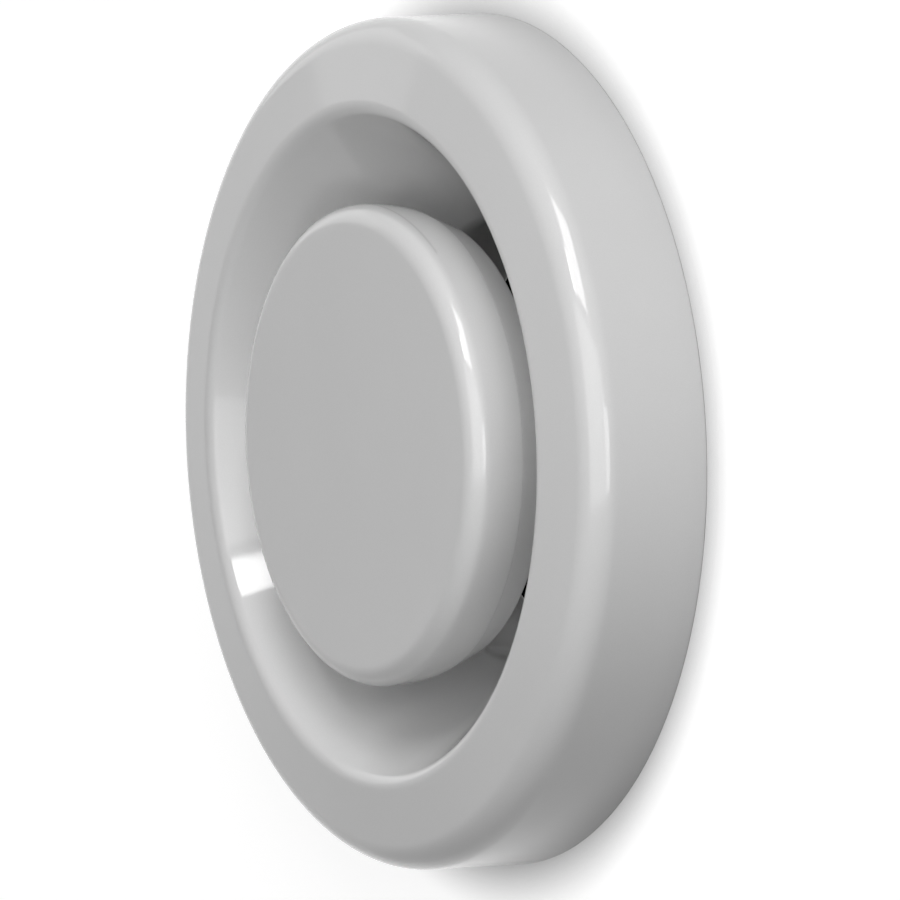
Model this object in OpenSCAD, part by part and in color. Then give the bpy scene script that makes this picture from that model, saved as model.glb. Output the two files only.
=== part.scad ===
// Round extract air valve for a 100 mm duct, with its bayonet mounting frame.
// The valve's axis lies along Y: the room is towards -Y and the duct towards +Y.
// The origin is where the axis meets the wall. Sections are drawn as [radius, distance in
// front of the wall], so a place behind the wall has a negative distance.

/* [Front ring] */
// Outer diameter of the ring
ring_d = 138; // [132:1:160]
// Height of the ring's outer corner in front of the wall
ring_depth = 21.8; // [18:0.1:28]
// Thickness of the ring's sheet
ring_t = 1.0; // [0.7:0.1:1.4]
// Radius of the ring's outer corner
ring_corner_r = 5.3; // [3.5:0.1:6.5]
// Rise of the ring's face from its outer corner to its lip
face_crown = 1.6; // [1:0.1:2.2]
// Diameter of the lip's crest, where the funnel begins
mouth_d = 110.8; // [108:0.2:114]
// Radius of the lip
lip_r = 2.5; // [1.8:0.1:3.2]

/* [Funnel and neck] */
// Depth of the funnel, from the lip's centre back to the centre of the neck's bend
funnel_depth = 24.3; // [22:0.1:24.8]
// Inner diameter of the neck
neck_d = 71; // [69:0.5:73]
// Radius between the funnel and the neck
neck_bend_r = 4; // [2:0.5:6]
// How far the neck reaches behind the wall
neck_back = 20; // [20:0.5:26]

/* [Rim gasket] */
// Width of the foam ring inside the skirt
gasket_w = 6; // [4:0.5:7]
// Height of the foam ring
gasket_h = 6; // [3:0.5:9]

/* [Disc] */
// Largest diameter of the disc
disc_d = 78; // [76:0.5:79]
// How far the disc at rest stands in front of the ring's outer corner
disc_proud = 4.6; // [3:0.1:6]
// Radius between the disc's flat front and its side
disc_front_r = 3.4; // [2:0.1:4]
// Radius of the side's inward sweep behind the widest place
disc_side_r = 26.4; // [20:0.4:36]
// Depth of the front shell, from its flat to its rear edge
shell_depth = 9.8; // [9:0.1:11]
// Thickness of the shell's sheet
shell_t = 1.0; // [0.7:0.1:1.2]
// Step at the crease, from the shell's rear edge out to the pan's band
crease_step = 0.15; // [0.05:0.05:0.3]
// Depth of the pan's band behind the crease
band_depth = 6.0; // [5.5:0.1:8]
// How much the band narrows towards the back, in radius
band_taper = 2.0; // [1:0.1:2.5]
// Radius between the band and the pan's back
pan_bend_r = 1.5; // [1.2:0.1:2.5]
// Thickness of the pan's sheet
pan_t = 0.8; // [0.6:0.1:1]
// Length of the pan's collar inside the shell
pan_collar = 4; // [2.5:0.1:4.5]

/* [Spindle] */
// Outer diameter of the thread
spindle_d = 8; // [7:0.5:9]
// Radial clearance between the thread and what turns on it
thread_gap = 0.06; // [0.03:0.01:0.09]
// Travel of the disc out of the ring, from its place at rest
travel_out = 15; // [10:1:18]
// Reach of the spindle into the disc, past the weld nut
spindle_nose = 0.7; // [0.3:0.1:2]
// Diameter of the turned-down rear end
journal_d = 6; // [5:0.5:6.5]
// Length of the turned-down rear end
journal_len = 3.7; // [3.6:0.1:6]
// Chamfer at the spindle's ends
spindle_chamfer = 0.6; // [0.3:0.1:0.8]

/* [Nuts and washers] */
// Width across flats of the nuts
nut_af = 13; // [12:0.5:14]
// Height of the thin nuts
thin_nut_h = 4; // [3:0.1:4.2]
// Height of the weld nut
weld_nut_h = 6.5; // [5:0.1:7.5]
// Diameter of the weld nut's collar
weld_collar_d = 18; // [17:0.5:22]
// Height of the weld nut's collar
weld_collar_h = 1.2; // [0.8:0.1:2]
// Outer diameter of the washers beside the nuts
washer_d = 16; // [15:0.5:18]
// Thickness of the disc's washer
disc_washer_t = 1.6; // [1:0.1:1.7]
// Thickness of the lock washer
lock_washer_t = 1.0; // [0.6:0.1:1.2]
// Radial clearance of a washer round the spindle
washer_gap = 0.3; // [0.3:0.05:0.5]
// Flat clearance between pieces that turn against each other
face_gap = 0.08; // [0.05:0.01:0.1]
// Outer diameter of the stop washer
stop_washer_d = 20; // [18:0.5:24]
// Thickness of the stop washer
stop_washer_t = 1.5; // [1:0.1:1.6]
// Gap left at the stop when the disc is right out
stop_gap = 0.4; // [0.3:0.05:0.6]
// Outer diameter of the E-clip
clip_d = 12; // [10:0.5:14]
// Thickness of the E-clip
clip_t = 0.8; // [0.6:0.1:0.9]
// Depth of the clip's groove
clip_groove = 0.6; // [0.4:0.1:0.8]
// Width of the clip's mouth
clip_mouth = 3.8; // [3.4:0.1:4.2]
// Radius of the two pockets beside the clip's middle prong
clip_pocket_r = 1.5; // [1.2:0.1:1.7]

/* [Bridge and bush] */
// Width of the bridge's strip
bridge_w = 16; // [14:0.5:20]
// Thickness of the bridge's strip
bridge_t = 1.5; // [1.2:0.1:2]
// Diameter of the bridge's middle
bridge_hub_d = 28; // [26:0.5:34]
// Inset of the bridge from the neck's rear edge
bridge_inset = 1.5; // [1:0.1:3]
// Length of each turned-up ear
ear_len = 9.5; // [8.5:0.1:10]
// Outer bend radius of the bridge and lugs
strip_bend_r = 2.5; // [2.2:0.1:3]
// Diameter of the bush's body
bush_d = 14; // [13:0.5:16]
// Length of the bush behind the bridge
bush_tail = 6.5; // [4:0.1:7.5]
// Diameter of the bush's flange
bush_flange_d = 19; // [18:0.5:22]
// Thickness of the bush's flange
bush_flange_t = 2; // [1.5:0.1:2.4]
// Width of the staked collar behind the bridge, in radius
stake_w = 1.2; // [0.8:0.1:1.6]

/* [Rivets] */
// Diameter of the rivets' shanks
rivet_d = 3.2; // [2.4:0.1:3.4]
// Diameter of the rivets' heads
rivet_head_d = 5.2; // [4.5:0.1:5.8]
// Height of the rivets' heads
rivet_head_h = 1.3; // [1:0.1:1.6]
// Distance between the two rivets of an ear
rivet_pitch = 7; // [6:0.1:8]
// Margin between a rivet's head and the strip's edge
rivet_margin = 0.5; // [0.3:0.1:0.8]

/* [Bayonet] */
// Width of each lug
lug_w = 12; // [10:0.5:14]
// Thickness of the lugs' strip
lug_t = 1.5; // [1.2:0.1:1.8]
// Gap between the lugs and the sleeve
lug_gap = 1.4; // [1:0.1:2]
// Length of the lugs along the axis
lug_len = 14; // [13.5:0.1:15]
// Inset of the lugs from the neck's rear edge
lug_inset = 1; // [0.5:0.1:2]
// Diameter of the bayonet pins
pin_d = 4.5; // [4:0.1:5]
// Diameter of the pins' heads
pin_head_d = 7; // [6.5:0.1:8]
// Height of the pins' heads
pin_head_h = 1.2; // [0.8:0.1:1.6]
// Gap between the pins' ends and the sleeve's outside
pin_recess = 0.1; // [0.05:0.05:0.3]
// Distance of the pins behind the wall
pin_back = 10; // [9:0.1:11]
// Clearance of the pins in their slots
slot_gap = 0.3; // [0.3:0.05:0.5]
// Angle that the valve turns between locked and free
twist_angle = 22; // [15:1:30]

/* [Mounting frame] */
// Outer diameter of the sleeve
sleeve_d = 98.6; // [97.5:0.1:99.4]
// Length of the sleeve behind the wall
sleeve_len = 40; // [30:1:60]
// Thickness of the frame's sheet
frame_t = 0.8; // [0.6:0.1:1]
// Gap between the frame's flange and the foam ring round it
flange_gap = 2; // [1:0.5:4]
// Distance of the wall screws from the flange's edge
screw_inset = 5; // [4:0.5:6]
// Diameter of the holes for the wall screws
screw_hole_d = 4.3; // [3.5:0.1:5]

/* [Hidden] */
$fn = 96;

// Steps in an arc of a section, and in a rivet's dome
arc_steps = 10;
dome_steps = 6;
// Places of the three bayonet lugs and of the three screws round the axis
lug_angles = [90, 210, 330];
screw_angles = [30, 150, 270];
// Places of the clip's pockets, and the share of the clip's radius where they are centred
clip_pocket_angles = [30, 150];
clip_pocket_place = 0.52;
// Sides of a nut, and the angle at which its corners are turned off
nut_sides = 6;
nut_chamfer = 30;
// Overrun of a cutting shape past the surface it cuts
over = 1;

// Ring: centres of its arcs, the tilt of the face from corner to lip, and the funnel's angle
// from the axis
ring_r = ring_d / 2;
corner_at = [ring_r - ring_corner_r, ring_depth - ring_corner_r];
lip_at = [mouth_d / 2, ring_depth + face_crown - lip_r];
face_run = corner_at[0] - lip_at[0];
face_rise = lip_at[1] - corner_at[1];
face_tilt = acos((ring_corner_r - lip_r) / norm([face_run, face_rise])) - atan2(face_run, face_rise);
neck_r = neck_d / 2;
neck_out_r = neck_r + ring_t;
bend_at = [neck_r + neck_bend_r, lip_at[1] - funnel_depth];
funnel_run = lip_at - bend_at;
funnel_angle = atan2(funnel_run[0], funnel_run[1]) + asin((neck_bend_r - lip_r) / norm(funnel_run));

// Disc: the shell's arcs, the crease and the pan
disc_r = disc_d / 2;
disc_top = ring_depth + disc_proud;
front_at = [disc_r - disc_front_r, disc_top - disc_front_r];
side_at = [disc_r - disc_side_r, front_at[1]];
shell_edge = disc_top - shell_depth;
side_angle = asin((front_at[1] - shell_edge) / disc_side_r);
edge_r = side_at[0] + disc_side_r * cos(side_angle);
edge_in_r = side_at[0] + (disc_side_r - shell_t) * cos(side_angle);
band_r = edge_r + crease_step;
band_end_r = band_r - band_taper;
pan_back = shell_edge - band_depth;
pan_bend_at = [band_end_r - pan_bend_r, pan_back + pan_bend_r];
band_run = [band_r, shell_edge] - pan_bend_at;
band_angle = atan2(band_run[0], band_run[1]) - asin(pan_bend_r / norm(band_run));
collar_r = edge_in_r - face_gap;

// Bridge, bush and what stands in front of it
bridge_back = -neck_back + bridge_inset;
bridge_front = bridge_back + bridge_t;
bush_front = bridge_front + bush_flange_t;
bush_back = bridge_back - bush_tail;
spindle_r = spindle_d / 2;
thread_r = spindle_r + thread_gap;
washer_in_r = spindle_r + washer_gap;
lock_washer_at = bush_front + face_gap;
lock_nut_at = lock_washer_at + lock_washer_t + face_gap;

// Spindle: from inside the disc to its stop
spindle_front = pan_back + pan_t + weld_nut_h + spindle_nose;
stop_at = bush_back - travel_out - stop_gap;
journal_front = stop_at + face_gap;
journal_r = journal_d / 2;
clip_front = stop_at - stop_washer_t - face_gap;
groove_r = journal_r - clip_groove;

// Inner radius of the foam ring, and the flange and its screws inside it
gasket_in_r = ring_r - ring_t - gasket_w;
flange_r = gasket_in_r - flange_gap;
screw_circle_r = flange_r - screw_inset;

// Bayonet: the lugs' legs and the pins
sleeve_r = sleeve_d / 2;
sleeve_in_r = sleeve_r - frame_t;
leg_out_r = sleeve_in_r - lug_gap;
lug_back = -neck_back + lug_inset;
lug_front = lug_back + lug_len;
pin_r = pin_d / 2;
pin_end_r = sleeve_r - pin_recess;
rivet_inset = rivet_margin + rivet_head_d / 2;
lug_rivet_at = [lug_back + strip_bend_r + rivet_head_d / 2, lug_front - rivet_inset];
ear_rivet_at = bridge_back + ear_len - rivet_inset;
ear_rivet_angle = asin(rivet_pitch / 2 / neck_r);
ear_angles = [for (side = [0, 180], turn = [-1, 1]) side + turn * ear_rivet_angle];

// Points of an arc about [middle[0], middle[1]] from one angle to another
function arc(middle, radius, from, to) =
    [for (i = [0:arc_steps]) let (a = from + (to - from) * i / arc_steps)
        [middle[0] + radius * cos(a), middle[1] + radius * sin(a)]];

// The same points in the opposite order
function backwards(points) = [for (i = [len(points) - 1:-1:0]) points[i]];

// Radial place where a flat head of a given radius meets the inside of a round wall
function seat(wall_r, head_r) = sqrt(wall_r * wall_r - head_r * head_r);

// Puts the valve's axis along Y, with its front towards -Y
module on_axis() {
    rotate([90, 0, 0]) children();
}

// Places children on the wall of a cylinder, their Z pointing away from the axis
module on_wall(angle, distance) {
    rotate([0, 0, angle]) translate([0, 0, distance]) rotate([0, 90, 0]) children();
}

// A ring turned from a flat washer section
module flat_ring(inner_r, outer_r, from, height) {
    translate([0, 0, from]) difference() {
        cylinder(r = outer_r, h = height);
        translate([0, 0, -over]) cylinder(r = inner_r, h = height + 2 * over);
    }
}

// A hexagonal nut whose corners are turned off at both ends
module hex_nut(bore_r, from, height) {
    flat_r = nut_af / 2;
    corner_r = flat_r / cos(180 / nut_sides);
    rise = (corner_r - flat_r) * tan(nut_chamfer);
    difference() {
        intersection() {
            translate([0, 0, from]) cylinder(r = corner_r, h = height, $fn = nut_sides);
            rotate_extrude() polygon([[0, from], [flat_r, from], [corner_r, from + rise],
                [corner_r, from + height - rise], [flat_r, from + height], [0, from + height]]);
        }
        translate([0, 0, from - over]) cylinder(r = bore_r, h = height + 2 * over);
    }
}

// Points of a low dome above a height, from its rim to its top, as part of an ellipse
function dome(from, height) = [for (i = [0:dome_steps]) let (a = 90 * i / dome_steps)
    [rivet_head_d / 2 * cos(a), from + height * sin(a)]];

// A rivet through walls from inner_r to outer_r, with a domed head at each end
module rivet(inner_r, outer_r) {
    head_seat = seat(inner_r, rivet_head_d / 2);
    rotate_extrude() polygon(concat(backwards(dome(head_seat, -rivet_head_h)),
        [[rivet_d / 2, head_seat], [rivet_d / 2, outer_r]], dome(outer_r, rivet_head_h)));
}

// The shanks of all rivets through the neck, used to drill its sheet
module neck_rivet_holes() {
    for (angle = ear_angles) on_wall(angle, ear_rivet_at)
        translate([0, 0, neck_r - over]) cylinder(d = rivet_d, h = ring_t + 2 * over);
    for (angle = lug_angles, distance = lug_rivet_at) on_wall(angle, distance)
        translate([0, 0, neck_r - over]) cylinder(d = rivet_d, h = ring_t + 2 * over);
}

// One side of the ring's sheet, set in by a distance from its visible side
function ring_side(inset) = concat(
    [[ring_r - inset, 0]],
    arc(corner_at, ring_corner_r - inset, 0, 90 - face_tilt),
    arc(lip_at, lip_r - inset, 90 - face_tilt, 180 - funnel_angle),
    arc(bend_at, neck_bend_r - inset, 180 - funnel_angle, 180),
    [[neck_r + inset, -neck_back]]);

// Skirt, face, lip, funnel and neck, drawn from one sheet
module valve_ring() {
    color([0.82, 0.82, 0.82]) on_axis() difference() {
        rotate_extrude() polygon(concat(ring_side(0), backwards(ring_side(ring_t))));
        neck_rivet_holes();
    }
}

// Foam ring stuck inside the skirt
module rim_gasket() {
    color([0.25, 0.25, 0.26]) on_axis() flat_ring(gasket_in_r, ring_r - ring_t, 0, gasket_h);
}

// Strip across the neck, with an ear at each end and a round middle
module bridge() {
    ear_r = neck_r;
    bend = [ear_r - strip_bend_r, bridge_back + strip_bend_r];
    inner_bend_r = strip_bend_r - bridge_t;
    section = concat([[0, bridge_back]], arc(bend, strip_bend_r, 270, 360),
        [[ear_r, bridge_back + ear_len], [ear_r - bridge_t, bridge_back + ear_len]],
        arc(bend, inner_bend_r, 360, 270), [[0, bridge_front]]);
    color([0.72, 0.73, 0.74]) on_axis() difference() {
        union() {
            intersection() {
                rotate_extrude() polygon(section);
                translate([-ring_r, -bridge_w / 2, -neck_back])
                    cube([ring_d, bridge_w, neck_back]);
            }
            translate([0, 0, bridge_back]) cylinder(d = bridge_hub_d, h = bridge_t);
        }
        translate([0, 0, bridge_back - over]) cylinder(d = bush_d, h = bridge_t + 2 * over);
        for (angle = ear_angles) on_wall(angle, ear_rivet_at)
            translate([0, 0, neck_r / 2]) cylinder(d = rivet_d, h = neck_r);
    }
}

// Rivets through the bridge's ears and the neck
module bridge_rivets() {
    color([0.70, 0.70, 0.71]) on_axis() for (angle = ear_angles)
        on_wall(angle, ear_rivet_at) rivet(neck_r - bridge_t, neck_out_r);
}

// Threaded bush with a front flange, staked behind the bridge
module spindle_bush() {
    color([0.78, 0.68, 0.42]) on_axis() difference() {
        union() {
            translate([0, 0, bush_back]) cylinder(d = bush_d, h = bush_front - bush_back);
            translate([0, 0, bridge_front]) cylinder(d = bush_flange_d, h = bush_flange_t);
            translate([0, 0, bridge_back - stake_w])
                cylinder(r1 = bush_d / 2, r2 = bush_d / 2 + stake_w, h = stake_w);
        }
        translate([0, 0, bush_back - over])
            cylinder(r = thread_r, h = bush_front - bush_back + 2 * over);
    }
}

// U-shaped lug on the neck, its outer leg beside the frame's sleeve
module bayonet_lug(angle) {
    foot_bend = [neck_out_r + strip_bend_r, lug_back + strip_bend_r];
    leg_bend = [leg_out_r - strip_bend_r, lug_back + strip_bend_r];
    inner_bend_r = strip_bend_r - lug_t;
    section = concat([[neck_out_r, lug_front]], arc(foot_bend, strip_bend_r, 180, 270),
        arc(leg_bend, strip_bend_r, 270, 360),
        [[leg_out_r, lug_front], [leg_out_r - lug_t, lug_front]],
        arc(leg_bend, inner_bend_r, 360, 270), arc(foot_bend, inner_bend_r, 270, 180),
        [[neck_out_r + lug_t, lug_front]]);
    color([0.74, 0.75, 0.76]) on_axis() rotate([0, 0, angle]) difference() {
        intersection() {
            rotate_extrude() polygon(section);
            translate([0, -lug_w / 2, lug_back]) cube([ring_r, lug_w, lug_len]);
        }
        for (distance = lug_rivet_at) on_wall(0, distance)
            translate([0, 0, neck_r]) cylinder(d = rivet_d, h = ring_t + lug_t + over);
        on_wall(0, -pin_back) translate([0, 0, leg_out_r - lug_t - over])
            cylinder(r = pin_r, h = lug_t + 2 * over);
    }
}

// Rivets through the neck and the lugs' feet
module lug_rivets() {
    color([0.70, 0.70, 0.71]) on_axis() for (angle = lug_angles, distance = lug_rivet_at)
        on_wall(angle, distance) rivet(neck_r, neck_out_r + lug_t);
}

// Headed studs in the lugs' outer legs, whose ends run in the frame's slots
module bayonet_pins() {
    head_seat = seat(leg_out_r - lug_t, pin_head_d / 2);
    color([0.66, 0.67, 0.68]) on_axis() for (angle = lug_angles)
        on_wall(angle, -pin_back) rotate_extrude() polygon([
            [0, head_seat - pin_head_h], [pin_head_d / 2, head_seat - pin_head_h],
            [pin_head_d / 2, head_seat], [pin_r, head_seat], [pin_r, pin_end_r], [0, pin_end_r]]);
}

// L-shaped slots of the frame, from the sleeve's front edge to the pins' locked places
module bayonet_slots() {
    half_w = pin_r + slot_gap;
    reach = ring_r;
    for (angle = lug_angles) rotate([0, 0, angle]) {
        on_wall(0, -pin_back) translate([0, 0, leg_out_r]) cylinder(r = half_w, h = lug_gap + over);
        on_wall(twist_angle, -pin_back) translate([0, 0, leg_out_r])
            cylinder(r = half_w, h = lug_gap + over);
        rotate([0, 0, twist_angle]) translate([leg_out_r, -half_w, -pin_back])
            cube([lug_gap + frame_t + over, 2 * half_w, pin_back + frame_t + over]);
        translate([0, 0, -pin_back - half_w]) linear_extrude(height = 2 * half_w)
            polygon([[0, 0], [reach, 0], [reach * cos(twist_angle), reach * sin(twist_angle)]]);
    }
}

// Sleeve for the duct with a flange on the wall, slots for the pins and holes for the screws
module mounting_frame() {
    section = concat([[flange_r, 0], [flange_r, frame_t]],
        arc([sleeve_in_r + frame_t, 0], frame_t, 90, 180),
        [[sleeve_in_r, -sleeve_len], [sleeve_r, -sleeve_len], [sleeve_r, 0]]);
    color([0.62, 0.64, 0.66]) on_axis() difference() {
        rotate_extrude() polygon(section);
        bayonet_slots();
        for (angle = screw_angles) rotate([0, 0, angle])
            translate([screw_circle_r, 0, -over]) cylinder(d = screw_hole_d, h = frame_t + 2 * over);
    }
}

// One side of the shell's sheet, set in by a distance from its visible side
function shell_side(inset) = concat(
    [[0, disc_top - inset]],
    arc(front_at, disc_front_r - inset, 90, 0),
    arc(side_at, disc_side_r - inset, 0, -side_angle));

// Front cup of the disc, its rim swept in to the crease
module disc_shell() {
    color([0.84, 0.84, 0.84]) on_axis()
        rotate_extrude() polygon(concat(shell_side(0), backwards(shell_side(shell_t))));
}

// Rear pan of the disc: back, tapered band, and a collar stepped in to fit the shell
module disc_pan() {
    shoulder = shell_edge - face_gap;
    band_in_r = band_r - pan_t * (1 / cos(band_angle) + tan(band_angle));
    section = concat([[washer_in_r, pan_back]],
        arc(pan_bend_at, pan_bend_r, -90, -band_angle),
        [[band_r, shoulder], [collar_r, shoulder],
            [collar_r, shell_edge + pan_collar], [collar_r - pan_t, shell_edge + pan_collar],
            [collar_r - pan_t, shoulder - pan_t], [band_in_r, shoulder - pan_t]],
        arc(pan_bend_at, pan_bend_r - pan_t, -band_angle, -90), [[washer_in_r, pan_back + pan_t]]);
    color([0.80, 0.80, 0.80]) on_axis() rotate_extrude() polygon(section);
}

// Nut with a round collar, welded to the inside of the pan
module weld_nut() {
    base = pan_back + pan_t;
    color([0.60, 0.60, 0.61]) on_axis() {
        flat_ring(spindle_r, weld_collar_d / 2, base, weld_collar_h);
        hex_nut(spindle_r, base, weld_nut_h);
    }
}

// Washer between the pan and its lock nut
module disc_washer() {
    color([0.72, 0.72, 0.73]) on_axis()
        flat_ring(washer_in_r, washer_d / 2, pan_back - disc_washer_t, disc_washer_t);
}

// Thin nut that locks the disc on the spindle
module disc_nut() {
    color([0.70, 0.70, 0.71]) on_axis()
        hex_nut(spindle_r, pan_back - disc_washer_t - thin_nut_h, thin_nut_h);
}

// Threaded rod, chamfered in front, turned down and grooved for the E-clip at the rear
module spindle() {
    tail = journal_front - journal_len;
    groove_back = clip_front - clip_t - face_gap;
    color([0.68, 0.69, 0.70]) on_axis() rotate_extrude() polygon([
        [0, spindle_front], [spindle_r - spindle_chamfer, spindle_front],
        [spindle_r, spindle_front - spindle_chamfer], [spindle_r, journal_front],
        [journal_r, journal_front], [journal_r, clip_front], [groove_r, clip_front],
        [groove_r, groove_back], [journal_r, groove_back],
        [journal_r, tail + spindle_chamfer], [journal_r - spindle_chamfer, tail],
        [0, tail]]);
}

// Loose washer on the turned-down end, which meets the bush when the disc is right out
module stop_washer() {
    color([0.72, 0.72, 0.73]) on_axis()
        flat_ring(journal_r + washer_gap, stop_washer_d / 2, stop_at - stop_washer_t, stop_washer_t);
}

// E-clip in the spindle's groove: three prongs between two pockets and a mouth
module stop_clip() {
    clip_back = clip_front - clip_t;
    cut_h = clip_t + 2 * over;
    color([0.35, 0.35, 0.36]) on_axis() difference() {
        flat_ring(groove_r, clip_d / 2, clip_back, clip_t);
        translate([-clip_mouth / 2, -clip_d, clip_back - over]) cube([clip_mouth, clip_d, cut_h]);
        for (angle = clip_pocket_angles) rotate([0, 0, angle])
            translate([clip_d / 2 * clip_pocket_place, 0, clip_back - over])
                cylinder(r = clip_pocket_r, h = cut_h);
    }
}

// Washer between the lock nut and the bush
module lock_washer() {
    color([0.72, 0.72, 0.73]) on_axis()
        flat_ring(washer_in_r, washer_d / 2, lock_washer_at, lock_washer_t);
}

// Thin nut that locks the spindle against the bush
module lock_nut() {
    color([0.70, 0.70, 0.71]) on_axis() hex_nut(thread_r, lock_nut_at, thin_nut_h);
}

mounting_frame();
valve_ring();
rim_gasket();
bridge();
bridge_rivets();
spindle_bush();
bayonet_lug(lug_angles[0]);  // bayonet_lug_1
bayonet_lug(lug_angles[1]);  // bayonet_lug_2
bayonet_lug(lug_angles[2]);  // bayonet_lug_3
lug_rivets();
bayonet_pins();
stop_washer();
disc_shell();
disc_pan();
weld_nut();
disc_washer();
disc_nut();
spindle();
stop_clip();
lock_washer();
lock_nut();
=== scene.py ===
"""Round extract air valve with its bayonet mounting frame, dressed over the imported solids.

The valve's axis lies along Y: the room is towards -Y, the duct towards +Y, and the wall is the plane
y = 0. A section is an array of (radius, front) rows in metres, where front is the distance in front of
the wall, so a section's point lies at y = -front. Angles round the axis run from +X towards +Z.
"""

import logging
import math
from dataclasses import dataclass, field
from enum import Enum

import bpy
import numpy as np
from mathutils import Matrix, Vector


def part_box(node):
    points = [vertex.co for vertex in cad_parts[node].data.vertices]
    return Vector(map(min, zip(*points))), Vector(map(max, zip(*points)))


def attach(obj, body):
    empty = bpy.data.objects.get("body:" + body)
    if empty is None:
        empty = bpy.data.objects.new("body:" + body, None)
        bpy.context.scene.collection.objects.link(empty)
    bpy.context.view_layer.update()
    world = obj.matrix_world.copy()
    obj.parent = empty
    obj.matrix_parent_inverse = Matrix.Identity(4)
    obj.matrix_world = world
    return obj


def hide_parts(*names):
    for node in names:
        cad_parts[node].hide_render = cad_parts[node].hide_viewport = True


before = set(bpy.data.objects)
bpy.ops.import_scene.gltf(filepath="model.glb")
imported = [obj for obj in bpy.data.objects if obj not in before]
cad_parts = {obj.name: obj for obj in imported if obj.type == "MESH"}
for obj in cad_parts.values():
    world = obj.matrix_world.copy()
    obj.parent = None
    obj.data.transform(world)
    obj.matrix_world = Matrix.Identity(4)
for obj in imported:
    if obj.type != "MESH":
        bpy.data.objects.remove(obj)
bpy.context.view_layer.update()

log = logging.getLogger("air_valve")

MM = 0.001
PHOTO_SIDE = 900
SMOOTH_ANGLE = math.radians(32)


# Sections and surfaces


@dataclass(frozen=True)
class Reach:
    """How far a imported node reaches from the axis, into the room and behind the wall."""

    radius: float
    front: float
    back: float

    @classmethod
    def of(cls, node: str) -> "Reach":
        """Reads a node's reach from its box.

        Args:
            node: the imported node's name.

        Returns:
            Its outer radius, and its front and back as distances in front of the wall.
        """
        low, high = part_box(node)
        return cls(max(high[0], high[2]), -low[1], -high[1])


def arc(middle: tuple[float, float], radius: float, start: float, end: float, steps: int = 16) -> np.ndarray:
    """Points of a circle's arc: middle plus radius times the cosine and sine of each angle.

    Args:
        middle: the circle's centre in the section.
        radius: its radius.
        start: first angle in degrees, from the radial direction towards the front.
        end: last angle in degrees.
        steps: number of equal steps between them.

    Returns:
        The arc's points, one row each.
    """
    angle = np.radians(np.linspace(start, end, steps + 1))
    return np.column_stack((middle[0] + radius * np.cos(angle), middle[1] + radius * np.sin(angle)))


def rounded(corners: np.ndarray, radius: float, steps: int = 4, closed: bool = True) -> np.ndarray:
    """Rounds a polygon's corners: each becomes an arc that touches both of its edges.

    The arc starts and ends radius times the tangent of half the turn away from the corner, or at
    most 0.45 of the shorter edge, and its points are a quadratic curve pulled towards the corner.

    Args:
        corners: the polygon's corners, one row each.
        radius: radius of the rounding.
        steps: steps in each arc.
        closed: whether the last corner joins the first. The ends of an open line stay sharp.

    Returns:
        The rounded outline.
    """
    before, after = np.roll(corners, 1, axis=0), np.roll(corners, -1, axis=0)
    to_before, to_after = before - corners, after - corners
    length_before = np.linalg.norm(to_before, axis=1, keepdims=True)
    length_after = np.linalg.norm(to_after, axis=1, keepdims=True)
    unit_before, unit_after = to_before / length_before, to_after / length_after
    inside = np.arccos(np.clip(np.sum(unit_before * unit_after, axis=1, keepdims=True), -1, 1))
    reach = np.minimum(radius / np.tan(inside / 2), 0.45 * np.minimum(length_before, length_after))
    first, last = corners + unit_before * reach, corners + unit_after * reach
    share = np.linspace(0, 1, steps + 1)[None, :, None]
    curve = (
        (1 - share) ** 2 * first[:, None, :]
        + 2 * share * (1 - share) * corners[:, None, :]
        + share**2 * last[:, None, :]
    )
    if closed:
        return curve.reshape(-1, 2)
    return np.vstack((corners[:1], curve[1:-1].reshape(-1, 2), corners[-1:]))


def supported(section: np.ndarray, margin: float = 0.25 * MM, closed: bool = True) -> np.ndarray:
    """Adds a point near both ends of each long straight run, so that flats shade flat.

    Args:
        section: the section's points.
        margin: distance of the added points from the run's ends.
        closed: whether the last point joins the first.

    Returns:
        The section with its added points.
    """
    ends = np.roll(section, -1, axis=0)
    runs = ends - section
    length = np.linalg.norm(runs, axis=1)
    long = length > 5 * margin
    if not closed:
        long[-1] = False
    unit = runs / np.maximum(length, margin)[:, None]
    near, far = section + unit * margin, ends - unit * margin
    stacked = np.stack((section, near, far), axis=1)
    keep = np.stack((np.ones_like(long), long, long), axis=1)
    return stacked[keep]


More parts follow.
